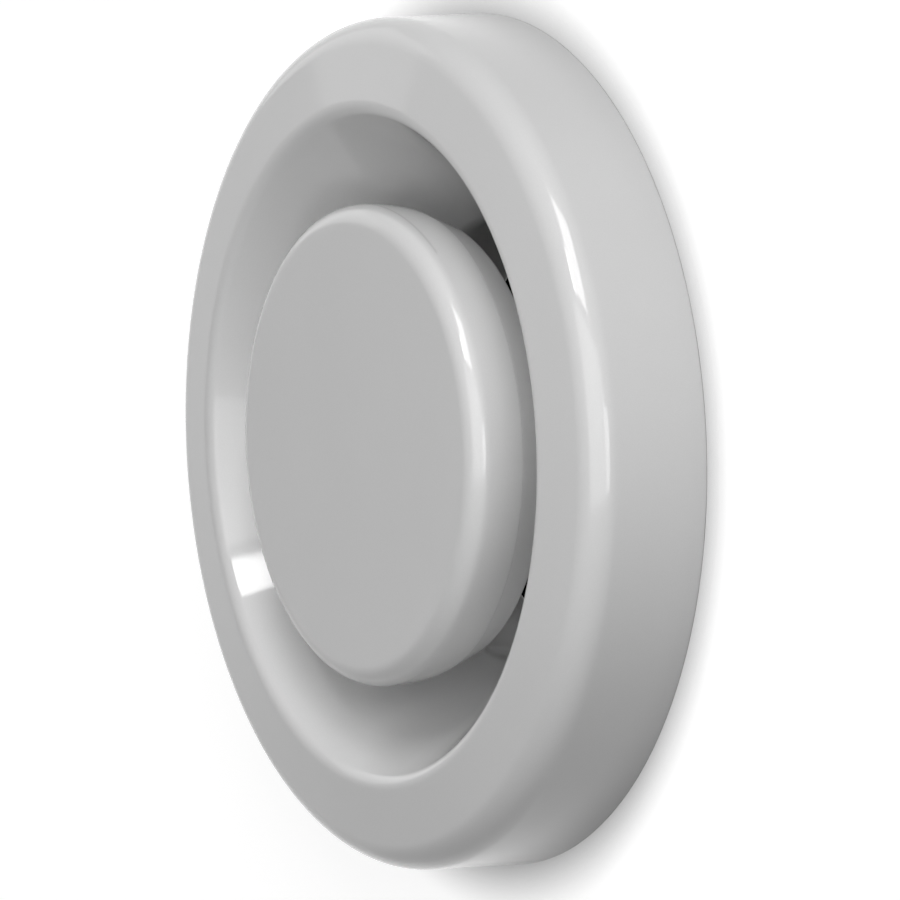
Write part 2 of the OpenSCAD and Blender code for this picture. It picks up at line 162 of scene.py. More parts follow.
@dataclass
class Surface:
    """A grid of points that becomes a mesh, with rows along one parameter and columns along the other.

    Attributes:
        points: the grid, as rows by columns by 3.
        rows_close: whether the last row joins the first.
        columns_close: whether the last column joins the first.
        capped: whether the first and last rows are closed by one flat face each.
        first_pole: the point that closes the first row by a fan, where it has one.
        last_pole: the same for the last row.
    """

    points: np.ndarray
    rows_close: bool = False
    columns_close: bool = True
    capped: bool = False
    first_pole: np.ndarray | None = None
    last_pole: np.ndarray | None = None

    def faces(self) -> tuple[list[np.ndarray], np.ndarray]:
        """Lists the grid's quads and caps.

        Returns:
            Arrays of faces by their number of corners, and the points of the poles.
        """
        rows, columns = self.points.shape[:2]
        index = np.arange(rows * columns).reshape(rows, columns)
        if self.rows_close:
            index = np.vstack((index, index[:1]))
        if self.columns_close:
            index = np.hstack((index, index[:, :1]))
        quads = np.stack((index[:-1, :-1], index[1:, :-1], index[1:, 1:], index[:-1, 1:]), axis=-1)
        made, poles = [quads.reshape(-1, 4)], []
        for pole, line, turn in ((self.first_pole, index[0], 1), (self.last_pole, index[-1], -1)):
            if pole is not None:
                tip = np.full(len(line) - 1, rows * columns + len(poles))
                made.append(np.column_stack((line[:-1], line[1:], tip)[::turn]))
                poles.append(pole)
        if self.capped:
            made.append(index[:1, :-1])
            made.append(index[-1:, :-1][:, ::-1])
        return made, np.array(poles).reshape(-1, 3)

    def mesh(self, name: str, copies: list[Matrix] | None = None) -> bpy.types.Mesh:
        """Puts the surface, or several placed copies of it, into one mesh with its faces outwards.

        Args:
            name: the mesh's name.
            copies: where each copy stands, or None for the surface as it is.

        Returns:
            The finished mesh.
        """
        groups, poles = self.faces()
        points = np.vstack((self.points.reshape(-1, 3), poles))
        if signed_volume(points, groups) < 0:
            groups = [group[:, ::-1] for group in groups]
        placed = [points]
        if copies:
            turns = np.array([np.array(place) for place in copies])
            placed = list(np.einsum("nij,pj->npi", turns[:, :3, :3], points) + turns[:, None, :3, 3])
        count = len(placed)
        every = [
            (group[None] + np.arange(count)[:, None, None] * len(points)).reshape(-1, group.shape[1])
            for group in groups
        ]
        return mesh_from(name, np.vstack(placed), every)


def signed_volume(points: np.ndarray, groups: list[np.ndarray]) -> float:
    """Six times the volume that faces enclose, positive where they face outwards.

    Each face is fanned from its first corner, and every triangle adds the product of its corners.

    Args:
        points: the mesh's points.
        groups: arrays of faces.

    Returns:
        The signed sum.
    """
    total = 0.0
    for group in groups:
        for last in range(2, group.shape[1]):
            a, b, c = points[group[:, 0]], points[group[:, last - 1]], points[group[:, last]]
            total += float(np.sum(a * np.cross(b, c)))
    return total


def mesh_from(name: str, points: np.ndarray, groups: list[np.ndarray]) -> bpy.types.Mesh:
    """Builds a smooth mesh from arrays of points and faces.

    Args:
        name: the mesh's name.
        points: its points, one row each.
        groups: arrays of faces, each array with one number of corners.

    Returns:
        The mesh, with edges sharper than the smoothing angle marked sharp.
    """
    sizes = np.concatenate([np.full(len(group), group.shape[1]) for group in groups])
    corners = np.concatenate([group.ravel() for group in groups])
    mesh = bpy.data.meshes.new(name)
    mesh.vertices.add(len(points))
    mesh.vertices.foreach_set("co", points.astype(np.float32).ravel())
    mesh.loops.add(len(corners))
    mesh.loops.foreach_set("vertex_index", corners.astype(np.int32))
    mesh.polygons.add(len(sizes))
    mesh.polygons.foreach_set("loop_start", np.concatenate(([0], np.cumsum(sizes)[:-1])).astype(np.int32))
    mesh.update(calc_edges=True)
    mesh.validate()
    mesh.set_sharp_from_angle(angle=SMOOTH_ANGLE)
    return mesh


def turned(section: np.ndarray, columns: int, closed: bool = True) -> Surface:
    """Turns a section round the valve's axis.

    A section's point (r, f) at angle a lies at x = r cos a, y = -f, z = r sin a. An open section that
    starts or ends on the axis is closed there by a pole.

    Args:
        section: the section's points.
        columns: steps round the axis.
        closed: whether the section's last point joins its first.

    Returns:
        The turned surface.
    """
    poles = [None, None]
    if not closed:
        on_axis = np.abs(section[[0, -1], 0]) < 0.001 * MM
        poles = [np.array((0, -section[end, 1], 0)) if on_axis[end] else None for end in (0, -1)]
        section = section[int(on_axis[0]) : len(section) - int(on_axis[1])]
    angle = np.linspace(0, 2 * math.pi, columns, endpoint=False)[None, :]
    radius, front = section[:, :1], section[:, 1:]
    points = np.stack((radius * np.cos(angle), -front + 0 * angle, radius * np.sin(angle)), axis=-1)
    return Surface(points, rows_close=closed, first_pole=poles[0], last_pole=poles[1])


def on_wall(angle: float, front: float) -> Matrix:
    """Place of a small piece on a round wall, its own -Y pointing away from the valve's axis.

    Args:
        angle: the place round the axis, in degrees.
        front: the place along the axis, in front of the wall.

    Returns:
        The matrix that stands the piece there.
    """
    turn = math.radians(angle)
    away = Vector((math.cos(turn), 0, math.sin(turn)))
    along = Vector((0, -1, 0))
    place = Matrix((along.cross(-away), -away, along)).transposed().to_4x4()
    place.translation = Vector((0, -front, 0))
    return place


# Finishes


class Graph:
    """A short way to add and join the nodes of one material."""

    def __init__(self, name: str) -> None:
        """Starts a material with one Principled shader joined to its output."""
        self.material = bpy.data.materials.new(name)
        self.material.use_nodes = True
        self.tree = self.material.node_tree
        self.tree.nodes.clear()
        self.output = self.tree.nodes.new("ShaderNodeOutputMaterial")
        self.shader = self.tree.nodes.new("ShaderNodeBsdfPrincipled")
        self.tree.links.new(self.shader.outputs["BSDF"], self.output.inputs["Surface"])
        self.place = self.tree.nodes.new("ShaderNodeTexCoord").outputs["Object"]

    def add(self, kind: str, inputs: dict | None = None, **settings) -> bpy.types.Node:
        """Adds a node.

        Args:
            kind: the node's type.
            inputs: socket names with the values or sockets that feed them.
            settings: the node's own properties.

        Returns:
            The node.
        """
        node = self.tree.nodes.new(kind)
        for key, value in settings.items():
            setattr(node, key, value)
        for key, value in (inputs or {}).items():
            self.feed(node.inputs[key], value)
        return node

    def feed(self, socket: bpy.types.NodeSocket, value: object) -> None:
        """Links a socket to another, or sets its value."""
        if isinstance(value, bpy.types.NodeSocket):
            self.tree.links.new(value, socket)
        else:
            socket.default_value = value

    def math(self, operation: str, *values: object) -> bpy.types.NodeSocket:
        """Result of a Math node on two or three values or sockets."""
        node = self.tree.nodes.new("ShaderNodeMath")
        node.operation = operation
        for socket, value in zip(node.inputs, values):
            self.feed(socket, value)
        return node.outputs["Value"]

    def noise(self, scale: float, detail: float = 2.0, place: object = None) -> bpy.types.NodeSocket:
        """Noise from 0 to 1, with scale in features per metre, at a place or the object's own."""
        inputs = {"Vector": place or self.place, "Scale": scale, "Detail": detail}
        return self.add("ShaderNodeTexNoise", inputs).outputs["Fac"]

    def between(self, share: bpy.types.NodeSocket, low: float, high: float) -> bpy.types.NodeSocket:
        """Maps the middle half of a noise, 0.25 to 0.75, onto a range."""
        inputs = {"Value": share, "From Min": 0.25, "From Max": 0.75, "To Min": low, "To Max": high}
        return self.add("ShaderNodeMapRange", inputs).outputs["Result"]

    def tint(self, colour: tuple[float, float, float], factor: bpy.types.NodeSocket) -> bpy.types.NodeSocket:
        """A colour made lighter or darker by a factor near 1."""
        node = self.add("ShaderNodeVectorMath", {0: colour}, operation="SCALE")
        self.feed(node.inputs["Scale"], factor)
        return node.outputs["Vector"]

    def bump(self, height: object, distance: float, under: object = None) -> bpy.types.NodeSocket:
        """Normal of a height from 0 to 1 that is distance high, over another bump if given."""
        inputs = {"Height": height, "Distance": distance}
        if under is not None:
            inputs["Normal"] = under
        return self.add("ShaderNodeBump", inputs).outputs["Normal"]


@dataclass(frozen=True)
class PowderCoat:
    """Glossy stoved powder coating on pressed steel.

    Attributes:
        name: the material's name.
        colour: its colour, linear.
        gloss: roughness of the coating.
        peel: height of the fine ripple that the coating sets with.
        wave: height of the broad unevenness of the pressed sheet under it.
    """

    name: str
    colour: tuple[float, float, float]
    gloss: float = 0.32
    peel: float = 0.003 * MM
    wave: float = 0.02 * MM

    def material(self) -> bpy.types.Material:
        """Builds the coating: a ripple over a broad wave, with slight changes of tone and gloss."""
        g = Graph(self.name)
        grain = g.math("MULTIPLY", g.between(g.noise(5200, 1), 0.985, 1.015), g.between(g.noise(38, 2), 0.985, 1.015))
        g.feed(g.shader.inputs["Base Color"], g.tint(self.colour, grain))
        g.feed(g.shader.inputs["Roughness"], g.between(g.noise(90, 3), self.gloss - 0.03, self.gloss + 0.04))
        broad = g.bump(g.noise(34, 1), self.wave)
        g.feed(g.shader.inputs["Normal"], g.bump(g.noise(620, 2), self.peel, broad))
        g.shader.inputs["IOR"].default_value = 1.5
        g.shader.inputs["Specular IOR Level"].default_value = 0.2
        g.shader.inputs["Coat Weight"].default_value = 1.0
        g.shader.inputs["Coat Roughness"].default_value = 0.07
        return g.material


class Grain(Enum):
    """How the fine marks on a metal's surface run."""

    TURNED = "rings round the valve's axis"
    ROLLED = "long streaks along X"
    TUMBLED = "small dents in every direction"
    SPANGLED = "large zinc crystals"


@dataclass(frozen=True)
class Metal:
    """A bare or plated metal.

    Attributes:
        name: the material's name.
        colour: its colour, linear.
        roughness: its middle roughness.
        grain: how its fine marks run.
        depth: height of those marks.
        patchy: how far tone and roughness wander over the piece.
    """

    name: str
    colour: tuple[float, float, float]
    roughness: float
    grain: Grain
    depth: float = 0.002 * MM
    patchy: float = 0.06

    def marks(self, g: Graph) -> bpy.types.NodeSocket:
        """Height of the fine marks, from 0 to 1.

        Args:
            g: the material's graph.

        Returns:
            The socket with the height.
        """
        if self.grain is Grain.SPANGLED:
            cells = g.add("ShaderNodeTexVoronoi", {"Vector": g.place, "Scale": 150.0, "Randomness": 1.0})
            return g.math("MULTIPLY_ADD", g.noise(1400, 3), 0.35, cells.outputs["Distance"])
        if self.grain is Grain.TUMBLED:
            return g.noise(1500, 3)
        if self.grain is Grain.ROLLED:
            stretched = g.add("ShaderNodeVectorMath", {0: g.place, 1: (90, 2600, 2600)}, operation="MULTIPLY")
            return g.noise(1.0, 3, stretched.outputs["Vector"])
        parts = g.add("ShaderNodeSeparateXYZ", {"Vector": g.place})
        square = g.math("MULTIPLY_ADD", parts.outputs["Z"], parts.outputs["Z"], g.math("POWER", parts.outputs["X"], 2.0))
        rings = g.add("ShaderNodeCombineXYZ", {"X": g.math("SQRT", square), "Y": parts.outputs["Y"]})
        return g.noise(4200, 2, rings.outputs["Vector"])

    def material(self) -> bpy.types.Material:
        """Builds the metal: fine marks as bump, and tone and roughness that wander over the piece."""
        g = Graph(self.name)
        tone = g.between(g.noise(260, 4), 1 - self.patchy, 1 + self.patchy)
        if self.grain is Grain.SPANGLED:
            cells = g.add("ShaderNodeTexVoronoi", {"Vector": g.place, "Scale": 150.0, "Randomness": 1.0})
            crystal = g.add("ShaderNodeSeparateColor", {"Color": cells.outputs["Color"]}).outputs["Red"]
            tone = g.math("MULTIPLY", tone, g.math("MULTIPLY_ADD", crystal, 2 * self.patchy, 1 - self.patchy))
        g.feed(g.shader.inputs["Base Color"], g.tint(self.colour, tone))
        rough = g.between(g.noise(420, 4), self.roughness - self.patchy, self.roughness + 1.5 * self.patchy)
        g.feed(g.shader.inputs["Roughness"], rough)
        g.feed(g.shader.inputs["Normal"], g.bump(self.marks(g), self.depth))
        g.shader.inputs["Metallic"].default_value = 1.0
        return g.material


@dataclass(frozen=True)
class CellRubber:
    """Closed-cell rubber foam with its cut cells open on the surface.

    Attributes:
        name: the material's name.
        colour: its colour, linear.
        cell: number of cells per metre.
    """

    name: str
    colour: tuple[float, float, float]
    cell: float = 1900.0

    def material(self) -> bpy.types.Material:
        """Builds the foam: pits from the distance to the nearest cell, with painted shade darkening their bottoms."""
        g = Graph(self.name)
        cells = g.add("ShaderNodeTexVoronoi", {"Vector": g.place, "Scale": self.cell, "Randomness": 1.0})
        pit = cells.outputs["Distance"]
        # Painted shade: the colour darkens towards each pit's bottom.
        tone = g.math("MULTIPLY", g.math("MULTIPLY_ADD", pit, 0.9, 0.55), g.between(g.noise(220, 3), 0.88, 1.12))
        g.feed(g.shader.inputs["Base Color"], g.tint(self.colour, tone))
        g.feed(g.shader.inputs["Normal"], g.bump(pit, 0.12 * MM))
        g.shader.inputs["Roughness"].default_value = 0.85
        return g.material


RING_COAT = PowderCoat("powder coat of the ring", (0.80, 0.80, 0.80))
DISC_COAT = PowderCoat("powder coat of the disc", (0.80, 0.80, 0.80))
FOAM = CellRubber("cell rubber", (0.045, 0.045, 0.048))
GALVANISED = Metal("galvanised sheet", (0.56, 0.58, 0.60), 0.40, Grain.SPANGLED, 0.006 * MM, 0.09)
ZINC_STRIP = Metal("zinc-plated strip", (0.62, 0.64, 0.66), 0.34, Grain.ROLLED, 0.002 * MM)
RIVET_STEEL = Metal("rivet steel", (0.58, 0.58, 0.60), 0.36, Grain.TUMBLED, 0.003 * MM)
PIN_STEEL = Metal("stud steel", (0.50, 0.51, 0.53), 0.30, Grain.TUMBLED, 0.002 * MM)
BUSH_BRASS = Metal("turned brass", (0.68, 0.52, 0.25), 0.26, Grain.TURNED, 0.003 * MM)
WASHER_ZINC = Metal("zinc-plated washer", (0.60, 0.61, 0.63), 0.36, Grain.TUMBLED, 0.003 * MM)
NUT_STEEL = Metal("zinc-plated nut", (0.58, 0.59, 0.60), 0.33, Grain.TURNED, 0.003 * MM)
SPINDLE_STEEL = Metal("zinc-plated rod", (0.56, 0.57, 0.59), 0.32, Grain.TURNED, 0.002 * MM)
SPRING_STEEL = Metal("phosphated spring steel", (0.07, 0.07, 0.075), 0.48, Grain.TUMBLED, 0.002 * MM)


def dress(
    mesh: bpy.types.Mesh, finish: PowderCoat | Metal | CellRubber, slot: str, body: str, *nodes: str
) -> bpy.types.Object:
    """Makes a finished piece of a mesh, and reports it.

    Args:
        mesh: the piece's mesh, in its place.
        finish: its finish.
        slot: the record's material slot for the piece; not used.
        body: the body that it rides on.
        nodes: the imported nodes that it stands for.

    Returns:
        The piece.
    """
    piece = bpy.data.objects.new(mesh.name, mesh)
    bpy.context.scene.collection.objects.link(piece)
    mesh.materials.append(finish.material())
    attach(piece, body)
    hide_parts(*nodes)
    mesh.calc_loop_triangles()
    log.info("%s: %d triangles, rides on %s, stands for %s", piece.name, len(mesh.loop_triangles), body, ", ".join(nodes))
    return piece


# Sub-assemblies


@dataclass
class FrontRing:
    """The pressed ring with skirt, face, lip, funnel and neck, and the foam ring inside its skirt."""

    outer_r: float
    crest: float
    neck_back: float
    depth: float = 21.8 * MM
    sheet: float = 1.0 * MM
    corner_r: float = 5.3 * MM
    lip_place_r: float = 55.4 * MM
    lip_r: float = 2.5 * MM
    funnel_depth: float = 24.3 * MM
    neck_r: float = 35.5 * MM
    neck_bend_r: float = 4.0 * MM
    edge_r: float = 0.3 * MM
    foam_width: float = 6.0 * MM
    foam_height: float = 6.0 * MM
    foam_bulge: float = 0.35 * MM
    columns: int = 288

    def side(self, inset: float) -> np.ndarray:
        """One side of the sheet: skirt, corner, face, lip, funnel, bend and neck, set in by a distance.

        The face touches the corner's and the lip's arcs, and the funnel touches the lip's and the
        bend's, so their angles follow from the arcs' centres and radii.

        Args:
            inset: distance from the visible side.

        Returns:
            The side's points.
        """
        corner = np.array((self.outer_r - self.corner_r, self.depth - self.corner_r))
        lip = np.array((self.lip_place_r, self.crest - self.lip_r))
        bend = np.array((self.neck_r + self.neck_bend_r, lip[1] - self.funnel_depth))
        face, funnel = corner - lip, lip - bend
        tilt = math.degrees(
            math.acos((self.corner_r - self.lip_r) / math.hypot(*face)) - math.atan2(face[0], -face[1])
        )
        slope = math.degrees(
            math.atan2(*funnel) + math.asin((self.neck_bend_r - self.lip_r) / math.hypot(*funnel))
        )
        return np.vstack((
            (self.outer_r - inset, 0),
            arc(corner, self.corner_r - inset, 0, 90 - tilt, 24),
            arc(lip, self.lip_r - inset, 90 - tilt, 180 - slope, 20),
            arc(bend, self.neck_bend_r - inset, 180 - slope, 180, 10),
            (self.neck_r + inset, self.neck_back),
        ))

    def build_sheet(self) -> bpy.types.Object:
        """Turns the sheet's section, with its two cut edges slightly rounded."""
        outside, inside = self.side(0), self.side(self.sheet)[::-1]
        skirt = rounded(np.vstack((inside[-2:], outside[:2])), self.edge_r, closed=False)
        neck = rounded(np.vstack((outside[-2:], inside[:2])), self.edge_r, closed=False)
        section = np.vstack((outside[1:-1], neck[1:-1], inside[1:-1], skirt[1:-1]))
        mesh = turned(supported(section), self.columns).mesh("ring_pressing")
        return dress(mesh, RING_COAT, "ring_coating", "valve", "valve_ring")

    def build_foam(self) -> bpy.types.Object:
        """Turns the foam ring: a square section whose free sides swell and wander a little."""
        outer = self.outer_r - self.sheet
        inner = outer - self.foam_width
        corners = np.array(((inner, 0), (outer, 0), (outer, self.foam_height), (inner, self.foam_height)))
        section = supported(rounded(corners, 0.8 * MM, 6), 0.9 * MM)
        surface = turned(section, self.columns)
        angle = np.linspace(0, 2 * math.pi, self.columns, endpoint=False)[None, :]
        height = section[:, 1:] / self.foam_height
        inside = np.clip((outer - section[:, :1]) / self.foam_width, 0, 1)
        swell = self.foam_bulge * inside * np.sin(math.pi * height)
        wander = 0.12 * MM * inside * (np.sin(7 * angle + 3 * height) + np.sin(17 * angle))
        radius = section[:, :1] - swell - wander * np.sin(math.pi * height)
        surface.points[..., 0] = radius * np.cos(angle)
        surface.points[..., 2] = radius * np.sin(angle)
        ring = dress(surface.mesh("rim_foam"), FOAM, "foam", "valve", "rim_gasket")
        return ring


@dataclass
class Hardware:
    """Turned and hexagonal small parts round the valve's axis."""

    flats: float = 13.0 * MM
    chamfer: float = 30.0
    edge_r: float = 0.2 * MM
    columns: int = 120

    def ring(
        self, name: str, bore_r: float, outer_r: float, back: float, front: float, soft: float = 0.0
    ) -> bpy.types.Mesh:
        """A flat ring, such as a stamped washer.

        Args:
            name: the mesh's name.
            bore_r: radius of its hole.
            outer_r: its outer radius.
            back: its rear face, in front of the wall.
            front: its front face.
            soft: radius of its edges, or 0 for the usual one.

        Returns:
            The ring's mesh.
        """
        corners = np.array(((bore_r, back), (outer_r, back), (outer_r, front), (bore_r, front)))
        return turned(supported(rounded(corners, soft or self.edge_r)), self.columns).mesh(name)

    def nut(self, name: str, bore_r: float, back: float, front: float) -> bpy.types.Mesh:
        """A hexagonal nut turned off at its corners.

        Each point's radius is the smaller of the turned section's and the hexagon's, which is half
        the width across flats over the cosine of the angle from the middle of the nearest flat.

        Args:
            name: the mesh's name.
            bore_r: radius of its bore.
            back: its rear face, in front of the wall.
            front: its front face.

        Returns:
            The nut's mesh.
        """
        flat, corner = self.flats / 2, self.flats / 2 / math.cos(math.pi / 6)
        rise = (corner - flat) * math.tan(math.radians(self.chamfer))
        slope = np.linspace(0, 1, 9)[:, None]
        rear = np.array((flat, back)) + slope * np.array((corner - flat, rise))
        ahead = np.array((corner, front - rise)) + slope * np.array((flat - corner, rise))
        mouth = self.edge_r * 2
        section = np.vstack((
            (bore_r, back + mouth), (bore_r + mouth, back), rear, ahead,
            (bore_r + mouth, front), (bore_r, front - mouth),
        ))
        surface = turned(section, self.columns)
        angle = np.linspace(0, 2 * math.pi, self.columns, endpoint=False)
        hexagon = flat / np.cos(angle % (math.pi / 3) - math.pi / 6)
        rounding = np.minimum(hexagon, corner - 0.12 * MM)
        radius = np.minimum(section[:, :1], rounding[None, :])
        surface.points[..., 0] = radius * np.cos(angle)
        surface.points[..., 2] = radius * np.sin(angle)
        return surface.mesh(name)


@dataclass
class AdjustingDisc:
    """The two-piece disc with the nuts and washer that hold it on its spindle."""

    front: float
    shell_back: float
    pan_back: float
    widest_r: float
    front_r: float = 3.4 * MM
    side_r: float = 26.4 * MM
    shell_sheet: float = 1.0 * MM
    crease_step: float = -0.06 * MM
    band_taper: float = 2.0 * MM
    pan_bend_r: float = 1.5 * MM
    pan_sheet: float = 0.8 * MM
    collar: float = 4.0 * MM
    gap: float = 0.08 * MM
    hole_r: float = 4.3 * MM
    spindle_r: float = 4.0 * MM
    weld_nut_height: float = 6.5 * MM
    weld_collar_r: float = 9.0 * MM
    weld_collar_height: float = 1.2 * MM
    washer_r: float = 8.0 * MM
    washer_t: float = 1.6 * MM
    nut_height: float = 4.0 * MM
    columns: int = 256
    hardware: Hardware = field(default_factory=Hardware)

    def side_angle(self) -> float:
        """Angle of the side's inward sweep at the shell's rear edge, in degrees."""
        return math.degrees(math.asin((self.front - self.front_r - self.shell_back) / self.side_r))

    def shell_side(self, inset: float) -> np.ndarray:
        """One side of the shell's sheet: flat, front corner, and side swept in to the crease.

        Args:
            inset: distance from the visible side.

        Returns:
            The side's points, from the axis to the rear edge.
        """
        corner = (self.widest_r - self.front_r, self.front - self.front_r)
        side = (self.widest_r - self.side_r, corner[1])
        return np.vstack((
            (0, self.front - inset),
            arc(corner, self.front_r - inset, 90, 0, 24),
            arc(side, self.side_r - inset, 0, -self.side_angle(), 14),
        ))

    def build_shell(self) -> bpy.types.Object:
        """Turns the shell, closed at the axis on both sides of its sheet."""
        outside, inside = self.shell_side(0), self.shell_side(self.shell_sheet)[::-1]
        rim = rounded(np.vstack((outside[-2:], inside[:2])), 0.03 * MM, closed=False)
        section = supported(np.vstack((outside[:-1], rim[1:-1], inside[1:])), 0.5 * MM, closed=False)
        mesh = turned(section, self.columns, closed=False).mesh("shell_pressing")
        return dress(mesh, DISC_COAT, "disc_coating", "disc", "disc_shell")

    def build_pan(self) -> bpy.types.Object:
        """Turns the pan: back, bend, tapered band, shoulder at the crease and collar in the shell."""
        sweep = math.radians(self.side_angle())
        edge_r = self.widest_r - self.side_r + self.side_r * math.cos(sweep)
        inner_edge_r = edge_r - self.shell_sheet * math.cos(sweep)
        band_r, collar_r = edge_r + self.crease_step, inner_edge_r - self.gap
        shoulder, sheet = self.shell_back - self.gap, self.pan_sheet
        bend = np.array((band_r - self.band_taper - self.pan_bend_r, self.pan_back + self.pan_bend_r))
        run = np.array((band_r, self.shell_back)) - bend
        lean = math.atan2(*run) - math.asin(self.pan_bend_r / math.hypot(*run))
        band_in_r = band_r - sheet * (1 / math.cos(lean) + math.tan(lean))
        tip = self.shell_back + self.collar
        lean = math.degrees(lean)
        outside = np.vstack(((self.hole_r, self.pan_back), arc(bend, self.pan_bend_r, -90, -lean, 10)))
        inside = np.vstack((arc(bend, self.pan_bend_r - sheet, -lean, -90, 6), (self.hole_r, self.pan_back + sheet)))
        corners = np.array((
            outside[-1], (band_r, shoulder), (collar_r, shoulder), (collar_r, tip), (collar_r - sheet, tip),
            (collar_r - sheet, shoulder - sheet), (band_in_r, shoulder - sheet), inside[0],
        ))
        step = rounded(corners, 0.03 * MM, closed=False)
        section = supported(np.vstack((outside[:-1], step, inside[1:])), 0.4 * MM)
        mesh = turned(section, self.columns).mesh("pan_pressing")
        return dress(mesh, DISC_COAT, "disc_coating", "disc", "disc_pan")

    def build_fasteners(self) -> list[bpy.types.Object]:
        """Makes the weld nut with its collar, the washer behind the pan and the nut behind that."""
        base, seat = self.pan_back + self.pan_sheet, self.pan_back - self.washer_t
        make = self.hardware
        weld = make.nut("weld_nut_hexagon", self.spindle_r, base + self.weld_collar_height, base + self.weld_nut_height)
        collar = make.ring("weld_nut_collar", self.spindle_r, self.weld_collar_r, base, base + self.weld_collar_height)
        washer = make.ring("pan_washer", self.hole_r, self.washer_r, seat, self.pan_back)
        nut = make.nut("pan_nut", self.spindle_r, seat - self.nut_height, seat)
        return [
            dress(weld, NUT_STEEL, "nut_steel", "disc", "weld_nut"),
            dress(collar, NUT_STEEL, "nut_steel", "disc", "weld_nut"),
            dress(washer, WASHER_ZINC, "washer_zinc", "disc", "disc_washer"),
            dress(nut, NUT_STEEL, "nut_steel", "disc", "disc_nut"),
        ]


@dataclass
class ScrewSpindle:
    """The threaded rod with its turned-down end, and the E-clip, washers and nut that run on it."""

    front: float
    back: float
    thread_r: float
    pitch: float = 1.25 * MM
    thread_depth: float = 0.70 * MM
    journal_front: float = -40.32 * MM
    journal_r: float = 3.0 * MM
    groove_front: float = -41.98 * MM
    groove_back: float = -42.86 * MM
    groove_r: float = 2.4 * MM
    chamfer: float = 0.6 * MM
    rows_per_pitch: int = 14
    columns: int = 64
    hardware: Hardware = field(default_factory=Hardware)

    def build_rod(self) -> bpy.types.Object:
        """Cuts a right-hand thread into the turned rod.

        The thread's depth at a point depends on its place along the axis less the pitch times its turn
        round the axis: flat crests and roots with straight flanks between. The point's radius is the
        smaller of that and the turned rod's own, and the thread runs out before the journal.
        """
        r, j, g, c = self.thread_r, self.journal_r, self.groove_r, self.chamfer
        turned_rod = np.array((
            (0.02 * MM, self.front), (r - c, self.front), (r, self.front - c), (r, self.journal_front + c),
            (r - c, self.journal_front), (j, self.journal_front), (j, self.groove_front),
            (g, self.groove_front), (g, self.groove_back), (j, self.groove_back),
            (j, self.back + c), (j - c, self.back), (0.02 * MM, self.back),
        ))
        count = int((self.front - self.journal_front) / self.pitch * self.rows_per_pitch)
        threaded = np.linspace(self.front - c / 2, self.journal_front + c / 2, count)
        inside = np.column_stack((np.interp(-threaded, -turned_rod[1:5, 1], turned_rod[1:5, 0]), threaded))
        section = np.vstack((turned_rod[:2], inside, turned_rod[4:]))
        surface = turned(section, self.columns, closed=False)
        surface.first_pole, surface.last_pole = np.array((0, -self.front, 0)), np.array((0, -self.back, 0))
        angle = np.linspace(0, 2 * math.pi, self.columns, endpoint=False)[None, :]
        phase = np.abs(((section[:, 1:] / self.pitch + angle / (2 * math.pi)) % 1) - 0.5) * 2
        cut = np.clip((phase - 0.14) / 0.68, 0, 1)
        along = section[:, 1:]
        run_out = np.clip((along - self.journal_front - 1.5 * c) / (3 * c), 0, 1)
        in_thread = (along <= self.front - c / 2) & (along >= self.journal_front + c / 2)
        thread = np.where(in_thread, self.thread_r - self.thread_depth * cut * run_out, np.inf)
        radius = np.minimum(section[:, :1], thread)
        surface.points[..., 0] = radius * np.cos(angle)
        surface.points[..., 2] = radius * np.sin(angle)
        return dress(surface.mesh("threaded_rod"), SPINDLE_STEEL, "spindle_steel", "disc", "spindle")

    def build_washers(self) -> list[bpy.types.Object]:
        """Makes the stop washer on the journal and the washer between the lock nut and the bush."""
        stop, lock = Reach.of("stop_washer"), Reach.of("lock_washer")
        bore = 0.3 * MM
        make = self.hardware
        rear = make.ring("stop_disc", self.journal_r + bore, stop.radius, stop.back, stop.front)
        ahead = make.ring("lock_disc", self.thread_r + bore, lock.radius, lock.back, lock.front)
        return [
            dress(rear, WASHER_ZINC, "washer_zinc", "stop_washer", "stop_washer"),
            dress(ahead, WASHER_ZINC, "washer_zinc", "lock_washer", "lock_washer"),
        ]

    def build_lock_nut(self) -> bpy.types.Object:
        """Makes the thin nut that locks the spindle against the bush."""
        reach = Reach.of("lock_nut")
        mesh = self.hardware.nut("lock_hexagon", self.thread_r + 0.06 * MM, reach.back, reach.front)
        return dress(mesh, NUT_STEEL, "nut_steel", "lock_nut", "lock_nut")


